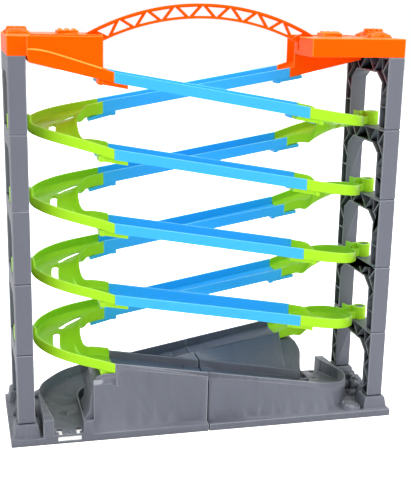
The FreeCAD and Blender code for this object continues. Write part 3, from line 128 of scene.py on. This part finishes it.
class Finish:
    """The nodes of a material or of the world."""

    def __init__(self, owner):
        self.owner = owner
        owner.use_nodes = True
        self.tree = owner.node_tree
        self.tree.nodes.clear()

    def node(self, kind, settings=None, sockets=None, output=0):
        """A node with its settings, its sockets' values or links, and the output asked for."""
        made = self.tree.nodes.new(kind)
        for name, value in (settings or {}).items():
            setattr(made, name, value)
        for name, value in (sockets or {}).items():
            if isinstance(value, Value):
                self.tree.links.new(value.socket, made.inputs[name])
            else:
                made.inputs[name].default_value = value
        return Value(self, made.outputs[output]) if made.outputs else None

    def surface(self, shader, kind="ShaderNodeOutputMaterial"):
        """Ends the nodes with a shader and gives back what they belong to."""
        self.node(kind, None, {"Surface": shader})
        return self.owner


floor_shape = bmesh.new()
bmesh.ops.create_grid(floor_shape, x_segments=1, y_segments=1, size=SHEET_SIZE / 2)
floor_data = bpy.data.meshes.new("white_sheet")
floor_shape.to_mesh(floor_data)
floor_shape.free()
floor = in_scene("white_sheet", floor_data)
paper = Finish(bpy.data.materials.new("white_sheet"))
to_camera = paper.node("ShaderNodeLightPath", None, None, "Is Camera Ray")
matt = paper.node("ShaderNodeBsdfDiffuse", None, {"Color": SHEET_COLOUR})
white = paper.node("ShaderNodeEmission", None, {"Strength": to_camera * SHEET_GLOW})
lit_sheet = paper.node("ShaderNodeAddShader", None, {0: matt, 1: white})
floor_data.materials.append(paper.surface(lit_sheet))

world = bpy.data.worlds.new("studio")
bpy.context.scene.world = world
studio = Finish(world)
to_camera = studio.node("ShaderNodeLightPath", None, None, "Is Camera Ray")
to_gloss = studio.node("ShaderNodeLightPath", None, None, "Is Glossy Ray")
white = studio.node("ShaderNodeMath", {"operation": "MAXIMUM"}, {0: to_camera, 1: to_gloss})
walls = studio.node("ShaderNodeBackground", None, {
    "Color": (1, 1, 1, 1), "Strength": white * (1 - WORLD_LEVEL) + WORLD_LEVEL})
studio.surface(walls, "ShaderNodeOutputWorld")

for name, place, width, power in LAMPS:
    lamp_data = bpy.data.lights.new(name, "AREA")
    lamp_data.size = width
    lamp_data.energy = power
    lamp = in_scene(name, lamp_data)
    lamp.location = place
    aim = LAMP_TARGET - Vector(place)
    lamp.rotation_euler = aim.to_track_quat("-Z", "Y").to_euler()


# Ten tower segments, five on a side, stacked by the spigots on their legs. Each is one grey
# moulding, open towards the track from top to foot, where thin ribs cross a deep hollow that is
# painted near black as shade. The mould was drawn along the legs, which leaves fine streaks up and
# down them. The open arrises, the ribs' edges too, get a painted highlight.

GREY = (0.135, 0.143, 0.176)
# The light grey painted as a highlight on open arrises.
GREY_PAINTED_HIGHLIGHT = (0.34, 0.35, 0.39)
GREY_GLOSS = 1.4
GREY_ROUGHNESS = 0.46
# The near black that shut-in places are painted with as shade.
PAINTED_SHADE_DARK = (0.008, 0.008, 0.01, 1)
LEG_ROUNDING = 0.0006
SEGMENTS = 5
SEGMENT_HEIGHT = 0.08
LOWEST_TOP = 0.1035
LEG_OPEN_FACE = 0.1976
LEG_BACK_WALL = 0.2143
LEG_INSIDE = (0.0445, 0.0577)
FOOT_HOLLOW = (0.002, 0.0245)
CUT_MARGIN = 0.001
SPIGOT_INSIDE = 0.043

# How the painted highlight on arrises is found: the reach of the rounded normal, how far it bends
# from the flat one, and how far upward it faces.
PAINTED_HIGHLIGHT_WIDTH = 0.0017
PAINTED_HIGHLIGHT_BEND = (0.997, 0.93)
PAINTED_HIGHLIGHT_FACING = (-0.3, 0.0)
FLOW = {"Scale": 9.0, "Detail": 3.0, "Roughness": 0.55}
STREAKS = {"Scale": 55.0, "Detail": 3.0, "Roughness": 0.6}
STREAK_SHARE = 0.4
STREAK_DEPTH = 0.0012
GRAIN = {"Scale": 1700.0, "Detail": 2.0}
GRAIN_RELIEF = 0.06
GRAIN_DEPTH = 0.0003
SCUFFS = {"Scale": 70.0, "Detail": 5.0, "Roughness": 0.65}
SCUFF_SPREAD = 0.2
SINKS = {"Scale": 34.0, "Detail": 2.0, "Roughness": 0.45, "Distortion": 0.8}
SINK_DEPTH = 0.005

MERGE_DISTANCE = 0.00001
SHARP_ANGLE = math.radians(40)
ARRIS_ANGLE = math.radians(35)
ARRIS_LENGTH = 3.0
NEIGHBOUR_LENGTH = 2.2


def moulded(name, colour, highlight_colour, roughness=0.4, streak=(1.0, 1.0, 1.0), relief=0.1,
            hollow=(0.004, 0.2, 0.0), free=(0.5, 0.75), variety=0.07, ripple=0.0, ior=1.32,
            gloss=(1, 1, 1, 1), glow=(0, 0, 0, 1)):
    """Injection-moulded plastic with a fine grain, drawn streaks and scuffs, painted shade in its
    hollows and a painted highlight along its open, upward arrises. streak stretches the streaks,
    and relief is how strongly they and ripple how strongly the sink marks show. hollow gives the
    painted
    shade: how far off a wall still counts, and from which openness down to which the place is
    painted dark. free gives from which openness up to which the arrises get the painted highlight.
    glow is
    painted light: a constant emission that brightens the plastic's shaded faces."""
    finish = Finish(bpy.data.materials.new(name))

    def cloudy(place, pattern):
        return finish.node("ShaderNodeTexNoise", None, {"Vector": place, **pattern})

    def share(value, none, full, kind="LINEAR"):
        return finish.node("ShaderNodeMapRange", {"interpolation_type": kind},
                           {"Value": value, "From Min": none, "From Max": full})

    def mixed(factor, first, second):
        return finish.node("ShaderNodeMix", {"data_type": "RGBA"},
                           {"Factor": factor, 6: first, 7: second}, 2)

    def raised(height, strength, depth, **more):
        return finish.node("ShaderNodeBump", None, {
            "Strength": strength, "Distance": depth, "Height": height, **more}, "Normal")

    place = finish.node("ShaderNodeTexCoord", None, None, "Object")
    drawn = finish.node("ShaderNodeMapping", None, {"Vector": place, "Scale": streak})
    flow = cloudy(place, FLOW)
    streaks = cloudy(drawn, STREAKS)
    grain = cloudy(place, GRAIN)
    scuffs = cloudy(place, SCUFFS)

    darker = tuple(channel * (1 - variety) for channel in colour) + (1,)
    lighter = tuple(min(channel * (1 + variety), 1) for channel in colour) + (1,)
    tone = mixed(flow * (1 - STREAK_SHARE) + streaks * STREAK_SHARE, darker, lighter)
    # Painted shade: where the ambient-occlusion node finds a place shut in by walls nearby, its
    # colour is painted towards near black.
    reach, open_from, shut_at = hollow
    openness = finish.node("ShaderNodeAmbientOcclusion", {"samples": 8}, {"Distance": reach}, "AO")
    tone = mixed(share(openness, open_from, shut_at, "SMOOTHSTEP"), tone, PAINTED_SHADE_DARK)

    # Painted highlight: convex arrises that face upward and lie open are painted in the highlight
    # colour.
    round_normal = finish.node("ShaderNodeBevel", {"samples": 5}, {"Radius": PAINTED_HIGHLIGHT_WIDTH})
    flat_normal = finish.node("ShaderNodeNewGeometry", None, None, "Normal")
    along = finish.node("ShaderNodeVectorMath", {"operation": "DOT_PRODUCT"},
                        {0: round_normal, 1: flat_normal}, "Value")
    upward = finish.node("ShaderNodeSeparateXYZ", None, {"Vector": round_normal}, "Z")
    painted_highlight = share(along, *PAINTED_HIGHLIGHT_BEND) * share(openness, *free) * share(upward, *PAINTED_HIGHLIGHT_FACING)
    tone = mixed(painted_highlight, tone, highlight_colour + (1,))

    bumps = raised(grain, GRAIN_RELIEF, GRAIN_DEPTH)
    bumps = raised(streaks, relief, STREAK_DEPTH, Normal=bumps)
    if ripple:
        bumps = raised(cloudy(drawn, SINKS), ripple, SINK_DEPTH, Normal=bumps)
    return finish.surface(finish.node("ShaderNodeBsdfPrincipled", None, {
        "Base Color": tone,
        "Roughness": scuffs * SCUFF_SPREAD + (roughness - SCUFF_SPREAD / 2),
        "Normal": bumps,
        "IOR": ior,
        "Specular Tint": gloss,
        # Painted light: a constant emission that brightens the plastic's shaded faces.
        "Emission Color": glow,
        "Emission Strength": 1.0,
    }))


def box(shape, low, high):
    """Adds a box between two corners, whichever way round they are."""
    made = bmesh.ops.create_cube(shape, size=1)
    size = Vector(high) - Vector(low)
    bmesh.ops.scale(shape, vec=[abs(side) for side in size], verts=made["verts"])
    bmesh.ops.translate(shape, vec=(Vector(high) + Vector(low)) / 2, verts=made["verts"])


def mesh_of(shape, name):
    """Turns a bmesh into a mesh and lets go of it."""
    data = bpy.data.meshes.new(name)
    shape.to_mesh(data)
    shape.free()
    return data


def copy_of(node):
    """A node's mesh with its loose triangles merged, as a bmesh."""
    shape = bmesh.new()
    shape.from_mesh(frame["nodes"][node].data)
    bmesh.ops.remove_doubles(shape, verts=shape.verts, dist=MERGE_DISTANCE)
    return shape


def cut_by(shape, tool):
    """Takes the boxes of one bmesh out of another."""
    pair = [in_scene(name, mesh_of(part, name))
            for part, name in ((shape, "cut_piece"), (tool, "cut_tool"))]
    cut = pair[0].modifiers.new("cut", "BOOLEAN")
    cut.operation = "DIFFERENCE"
    cut.solver = "EXACT"
    cut.object = pair[1]
    bpy.context.view_layer.update()
    worked = pair[0].evaluated_get(bpy.context.evaluated_depsgraph_get())
    left = bmesh.new()
    left.from_mesh(worked.to_mesh())
    worked.to_mesh_clear()
    for made in pair:
        data = made.data
        bpy.data.objects.remove(made)
        bpy.data.meshes.remove(data)
    return left


def has_room(edge, radius):
    """Whether an edge is long enough to be rounded and meets no edge too short to take it."""
    if edge.calc_length() < ARRIS_LENGTH * radius:
        return False
    return all(other.calc_length() > NEIGHBOUR_LENGTH * radius for corner in edge.verts
               for other in corner.link_edges)


def shown(shape, name, finish, body="stand", even=True):
    """Makes a bmesh a piece that rides on a body. Shading is smooth up to the sharp arrises, and
    evened out over flat faces if asked."""
    data = mesh_of(shape, name)
    data.shade_smooth()
    data.set_sharp_from_angle(angle=SHARP_ANGLE)
    data.materials.append(finish)
    piece = in_scene(name, data)
    if even:
        piece.modifiers.new("even_shading", "WEIGHTED_NORMAL").keep_sharp = True
    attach(piece, body)
    return piece


def finished(node, radius, finish, shape=None, flat=0.4, even=True):
    """A copy of a node with its outer arrises rounded, shown in the node's place. Faces that lie
    within so many degrees of flat are joined."""
    shape = shape or copy_of(node)
    bmesh.ops.dissolve_limit(shape, angle_limit=math.radians(flat), verts=shape.verts,
                             edges=shape.edges)
    arrises = [edge for edge in shape.edges
               if edge.is_manifold and edge.is_convex
               and edge.calc_face_angle() > ARRIS_ANGLE and has_room(edge, radius)]
    bmesh.ops.bevel(shape, geom=arrises, offset=radius, offset_type="OFFSET", affect="EDGES",
                    segments=2, profile=0.5, material=-1, clamp_overlap=False)
    body = frame["nodes"][node]["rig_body"]
    piece = shown(shape, f"{node}_moulding", finish, body, even)
    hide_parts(node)


def nodes_named(words):
    """The CAD nodes whose names hold these words, in the order of the alphabet."""
    return [name for name in sorted(frame["nodes"]) if words in name]


def side_of(node):
    """1 for a node at the right end of the track, and -1 for one at the left end."""
    return 1 if "right" in node else -1


# The hollows are painted near black as shade, and the open arrises get a painted highlight.
leg_plastic = moulded("tower_plastic", GREY, GREY_PAINTED_HIGHLIGHT, GREY_ROUGHNESS,
                      streak=(1.0, 1.0, 0.04), relief=0.16, hollow=(0.016, 0.62, 0.2),
                      free=(0.16, 0.36), variety=0.1, ior=GREY_GLOSS)
for node in nodes_named("tower_segment"):
    side = side_of(node)
    number = int(node[-1])
    top = LOWEST_TOP + SEGMENT_HEIGHT * (number - 1)
    segment = copy_of(node)
    if number > 1:
        foot = top - SEGMENT_HEIGHT
        hollows = bmesh.new()
        for leg in (-1, 1):
            box(hollows,
                (side * (LEG_OPEN_FACE - CUT_MARGIN), leg * LEG_INSIDE[0], foot + FOOT_HOLLOW[0]),
                (side * LEG_BACK_WALL, leg * LEG_INSIDE[1], foot + FOOT_HOLLOW[1]))
        segment = cut_by(segment, hollows)
    if number < SEGMENTS:
        for vertex in segment.verts:
            if vertex.co.z > top and abs(vertex.co.y) > SPIGOT_INSIDE:
                vertex.co.z = top
    bmesh.ops.remove_doubles(segment, verts=segment.verts, dist=MERGE_DISTANCE)
    finished(node, LEG_ROUNDING, leg_plastic, segment)


# Eight banked curves, four on a side: thin green channels whose inner wall flares out to guide a
# car from one straight to the next. Each hangs by its post on the peg of a crossbar.

GREEN = (0.36, 0.72, 0.02)
# The light green painted as a highlight on open arrises.
GREEN_PAINTED_HIGHLIGHT = (0.52, 0.95, 0.12)
GREEN_TINT = (0.75, 1, 0.35, 1)
CURVE_ROUNDING = 0.0006

# The curves' open arrises get a painted highlight, and only their most shut-in places are painted
# dark as shade.
curve_plastic = moulded("green_plastic", GREEN, GREEN_PAINTED_HIGHLIGHT, roughness=0.36, gloss=GREEN_TINT)
for node in nodes_named("curve"):
    finished(node, CURVE_ROUNDING, curve_plastic)


# Eight straights: blue channels that taper towards their high end, with a collared tongue under
# each end that laps under the next piece. The flow of the plastic runs along them.

BLUE = (0.045, 0.36, 0.9)
# The light blue painted as a highlight on open arrises.
BLUE_PAINTED_HIGHLIGHT = (0.14, 0.62, 1.0)
BLUE_TINT = (0.6, 0.85, 1, 1)
# Painted light: a faint emission that brightens the blue's shaded faces.
BLUE_PAINTED_GLOW = (0.0, 0.1, 0.05, 1)
STRAIGHT_ROUNDING = 0.0006

# The straights' open arrises get a painted highlight, their most shut-in places painted shade, and
# their shaded faces a painted glow.
straight_plastic = moulded("blue_plastic", BLUE, BLUE_PAINTED_HIGHLIGHT, roughness=0.34,
                           streak=(0.08, 1.0, 1.0), relief=0.06, gloss=BLUE_TINT, glow=BLUE_PAINTED_GLOW)
for node in nodes_named("straight"):
    finished(node, STRAIGHT_ROUNDING, straight_plastic)


# The two top decks, each an orange moulding: a hollow cap over its tower with a vent on top, whose
# slotted dome stands between two rounded cowls, and an open chute down to the first straight. A
# rail with a sloped top runs down the chute's tall side, painted in the pale highlight orange as a
# painted highlight. The orange has a painted glow that brightens its shaded faces.

ORANGE = (0.93, 0.1, 0.0)
# The pale orange painted as a highlight on open arrises and on the rail.
ORANGE_PAINTED_HIGHLIGHT = (1.0, 0.36, 0.05)
ORANGE_TINT = (1, 0.5, 0.12, 1)
# Painted light: an emission that brightens the orange's shaded faces.
ORANGE_PAINTED_GLOW = (0.22, 0.004, 0.0, 1)
ORANGE_GLOSS = 1.22
ORANGE_ROUGHNESS = 0.38
DECK_ROUNDING = 0.0007
DECK_TOP = 0.4436
DOME_FOOT = 0.4471
DOME_INSIDE = 0.18
DOME_SQUASH = {"left_platform": 0.8, "right_platform": 1.0}
VENT_X = 0.2026
COWL_Y = 0.0165
COWL_HALF_SIZE = (0.0138, 0.0096, 0.0062)
COWL_CUT = (0, 0, -0.05)
LEDGE_LINE = ((0.1962, 0.4308), (0.186, 0.4301), (0.179, 0.429), (0.173, 0.4276),
              (0.166, 0.4256), (0.14, 0.4176), (0.1205, 0.4116))
LEDGE_SECTION = ((0.0604, 0.0006), (0.0609, 0.0006), (0.0619, -0.0005), (0.0619, -0.0012),
                 (0.0612, -0.0012))

deck_plastic = moulded("orange_plastic", ORANGE, ORANGE_PAINTED_HIGHLIGHT, ORANGE_ROUGHNESS,
                       streak=(0.3, 1.0, 1.0), relief=0.05, ior=ORANGE_GLOSS, gloss=ORANGE_TINT,
                       glow=ORANGE_PAINTED_GLOW)
# The rail is painted all over in the highlight orange, a painted highlight.
ledge_plastic_painted_highlight = moulded("ledge_plastic_painted_highlight", ORANGE_PAINTED_HIGHLIGHT, ORANGE_PAINTED_HIGHLIGHT, ORANGE_ROUGHNESS,
                        ior=ORANGE_GLOSS, gloss=ORANGE_TINT)
for node in nodes_named("platform"):
    side = side_of(node)
    deck = copy_of(node)
    for vertex in deck.verts:
        if vertex.co.z > DOME_FOOT and abs(vertex.co.x) > DOME_INSIDE:
            vertex.co.z = DECK_TOP + (vertex.co.z - DECK_TOP) * DOME_SQUASH[node]
    finished(node, DECK_ROUNDING, deck_plastic, deck)
    for end, word in ((-1, "front"), (1, "back")):
        cowl = bmesh.new()
        bmesh.ops.create_uvsphere(cowl, u_segments=32, v_segments=16, radius=1)
        bmesh.ops.bisect_plane(cowl, geom=cowl.verts[:] + cowl.edges[:] + cowl.faces[:],
                               plane_co=COWL_CUT, plane_no=(0, 0, -1), clear_outer=True)
        bmesh.ops.holes_fill(cowl, edges=[edge for edge in cowl.edges if edge.is_boundary])
        bmesh.ops.scale(cowl, vec=COWL_HALF_SIZE, verts=cowl.verts)
        bmesh.ops.translate(cowl, vec=(side * VENT_X, end * COWL_Y, DECK_TOP), verts=cowl.verts)
        shown(cowl, f"{node}_cowl_{word}", deck_plastic)
    ledge = bmesh.new()
    x, z = LEDGE_LINE[0]
    corners = [ledge.verts.new((side * x, side * y, z + up)) for y, up in LEDGE_SECTION]
    section = bmesh.ops.contextual_create(ledge, geom=corners)["faces"]
    for start, end in zip(LEDGE_LINE, LEDGE_LINE[1:]):
        outline = section[0].edges[:]
        grown = bmesh.ops.extrude_face_region(ledge, geom=section + outline)["geom"]
        section = [part for part in grown if isinstance(part, bmesh.types.BMFace)]
        bmesh.ops.translate(ledge, vec=(side * (end[0] - start[0]), 0, end[1] - start[1]),
                            verts=section[0].verts)
    bmesh.ops.recalc_face_normals(ledge, faces=ledge.faces)
    shown(ledge, f"{node}_ledge", ledge_plastic_painted_highlight)


# The arch between the decks: one flat orange truss, moulded in one piece. Its feet stand loose in
# the decks' sockets, from which it lifts off.

ARCH_ROUNDING = 0.0003

# The arch's orange has the same painted glow, and only its most shut-in places are painted dark as
# shade.
arch_plastic = moulded("arch_plastic", ORANGE, ORANGE, ORANGE_ROUGHNESS, ior=ORANGE_GLOSS,
                       gloss=ORANGE_TINT, glow=ORANGE_PAINTED_GLOW)
finished("arch", ARCH_ROUNDING, arch_plastic)


# The base, in two halves alike: grey hollow mouldings that clip together with a gap between them.
# Their tall walls are thin and cooled unevenly, so they are slightly rippled.

BASE_ROUNDING = 0.0008
SEAM_EDGE = 0.00041
SEAM_MARGIN = 0.00003
SEAM_HALF_GAP = 0.0007
SHUT_HALF_GAP = 0.00012
BACK_WALL_Y = 0.057

# Painted shade darkens the base's slots and crevices, and its open arrises get a painted
# highlight.
base_plastic = moulded("base_plastic", GREY, GREY_PAINTED_HIGHLIGHT, GREY_ROUGHNESS,
                       streak=(1.0, 1.0, 0.4), relief=0.3, hollow=(0.006, 0.55, 0.15),
                       free=(0.55, 0.75), variety=0.12, ripple=0.9, ior=GREY_GLOSS)
for node in nodes_named("base"):
    side = side_of(node)
    half = copy_of(node)
    for vertex in half.verts:
        if abs(abs(vertex.co.x) - SEAM_EDGE) < SEAM_MARGIN:
            vertex.co.x = side * (SHUT_HALF_GAP if vertex.co.y > BACK_WALL_Y else SEAM_HALF_GAP)
    finished(node, BASE_ROUNDING, base_plastic, half, flat=0.02, even=False)


# Behind the gap the halves overlap in thin lips of the same grey, painted almost wholly dark as
# shade. One is inside each long wall and one inside its foot, so that no light falls through the
# base.

LIP_HALF_WIDTH = 0.004
LIPS = (((0.0569, 0.0575), (0.0005, 0.054)), ((0.0652, 0.0658), (0.0008, 0.0066)))

lip_plastic_painted_shade = moulded("lip_plastic_painted_shade", GREY, GREY, GREY_ROUGHNESS, hollow=(0.02, 0.95, 0.6),
                      ior=GREY_GLOSS)
for side, name in ((1, "back"), (-1, "front")):
    lips = bmesh.new()
    for (near, far), (low, high) in LIPS:
        box(lips, (-LIP_HALF_WIDTH, side * near, low), (LIP_HALF_WIDTH, side * far, high))
    shown(lips, f"{name}_seam_lips", lip_plastic_painted_shade)


# The round button on each plate's corner, moulded with the base half, has two low rings on its
# tilted top.

BUTTON_TOP = (0.18, -0.0555, 0.0131)
BUTTON_TILT = math.radians(9)
RINGS = ((0.0068, 0.0008), (0.0036, 0.0007))
RING_SIDES = 8
RING_STEPS = 48


def half_turned(shape):
    """Turns what was made for the right half of the base round to the left one."""
    bmesh.ops.rotate(shape, matrix=Matrix.Rotation(math.pi, 3, "Z"), verts=shape.verts)


for side in ("right", "left"):
    rings = bmesh.new()
    for radius, thickness in RINGS:
        ring = bmesh.ops.create_circle(rings, segments=RING_SIDES, radius=thickness)["verts"]
        bmesh.ops.rotate(rings, matrix=Matrix.Rotation(math.pi / 2, 3, "X"), verts=ring)
        bmesh.ops.translate(rings, vec=(radius, 0, 0), verts=ring)
        edges = list({edge for vertex in ring for edge in vertex.link_edges})
        bmesh.ops.spin(rings, geom=ring + edges, cent=(0, 0, 0), axis=(0, 0, 1),
                       angle=2 * math.pi, steps=RING_STEPS, use_merge=True)
    bmesh.ops.remove_doubles(rings, verts=rings.verts, dist=MERGE_DISTANCE)
    bmesh.ops.recalc_face_normals(rings, faces=rings.faces)
    bmesh.ops.rotate(rings, matrix=Matrix.Rotation(BUTTON_TILT, 3, "Y"), verts=rings.verts)
    bmesh.ops.translate(rings, vec=BUTTON_TOP, verts=rings.verts)
    if side == "left":
        half_turned(rings)
    shown(rings, f"{side}_button_rings", base_plastic)


# The stones heaped between each pair of plinths, moulded with the base half: rough, rounded
# boulders in a darker grey, with dark gaps between them, deepened by painted shade.

STONE_GREY = tuple(channel * 0.8 for channel in GREY)
STONES = 9
STONE_PITCH = 0.0075
STONE_RADIUS = 0.0075
STONE_HEIGHT = 0.017
STONE_FOOT = 0.0075
STONE_FORM = (1.05, 0.95, 0.56)
STONE_ACROSS = (0.35, 0.3, 2.1, 0)
STONE_TALLNESS = (0.62, 0.38, 1.7, math.pi / 2)
STONE_BREADTH = (1, 0.2, 3.7, 0)
STONE_LEAN = (0, 0.35, 2.9, 0)
PLATE_TOP = 0.0089
LEG_WIDTH = 0.0187
LUMP_SCALE = 1.3
LUMP_SIZE = 0.26
PIT_SCALE = 4.0
PIT_SIZE = 0.09
STONE_SEED = Vector((3.1, 7.7, 1.9))


def varied(index, middle, swing, pace, start):
    """A measure that swings about its middle from stone to stone."""
    return middle + swing * math.sin(start + pace * index)


# The gaps between the stones are painted dark as shade, and their open arrises get a painted
# highlight.
stone_plastic = moulded("stone_plastic", STONE_GREY, GREY_PAINTED_HIGHLIGHT, roughness=0.55,
                        hollow=(0.009, 0.8, 0.25), variety=0.2, ripple=0.5, ior=GREY_GLOSS)
for side in ("right", "left"):
    heap = bmesh.new()
    for index in range(STONES):
        stone = bmesh.ops.create_icosphere(heap, subdivisions=4, radius=1)["verts"]
        across = LEG_OPEN_FACE + LEG_WIDTH * varied(index, *STONE_ACROSS)
        along = (index - (STONES - 1) / 2) * STONE_PITCH
        height = PLATE_TOP + STONE_HEIGHT * varied(index, *STONE_TALLNESS)
        width = STONE_RADIUS * varied(index, *STONE_BREADTH)
        for vertex in stone:
            lump = noise.noise(vertex.co * LUMP_SCALE + STONE_SEED * (index + 1))
            pit = noise.noise(vertex.co * PIT_SCALE + STONE_SEED * (index + 2))
            vertex.co *= 1 + (lump * LUMP_SIZE + pit * PIT_SIZE)
        size = Vector((width, width, height)) * Vector(STONE_FORM)
        bmesh.ops.scale(heap, vec=size, verts=stone)
        lean = Matrix.Rotation(varied(index, *STONE_LEAN), 3, "X")
        bmesh.ops.rotate(heap, matrix=lean, verts=stone)
        bmesh.ops.translate(heap, vec=(across, along, height / 2), verts=stone)
        for vertex in stone:
            vertex.co.z = max(vertex.co.z, STONE_FOOT)
    if side == "left":
        half_turned(heap)
    shown(heap, f"{side}_stones", stone_plastic)
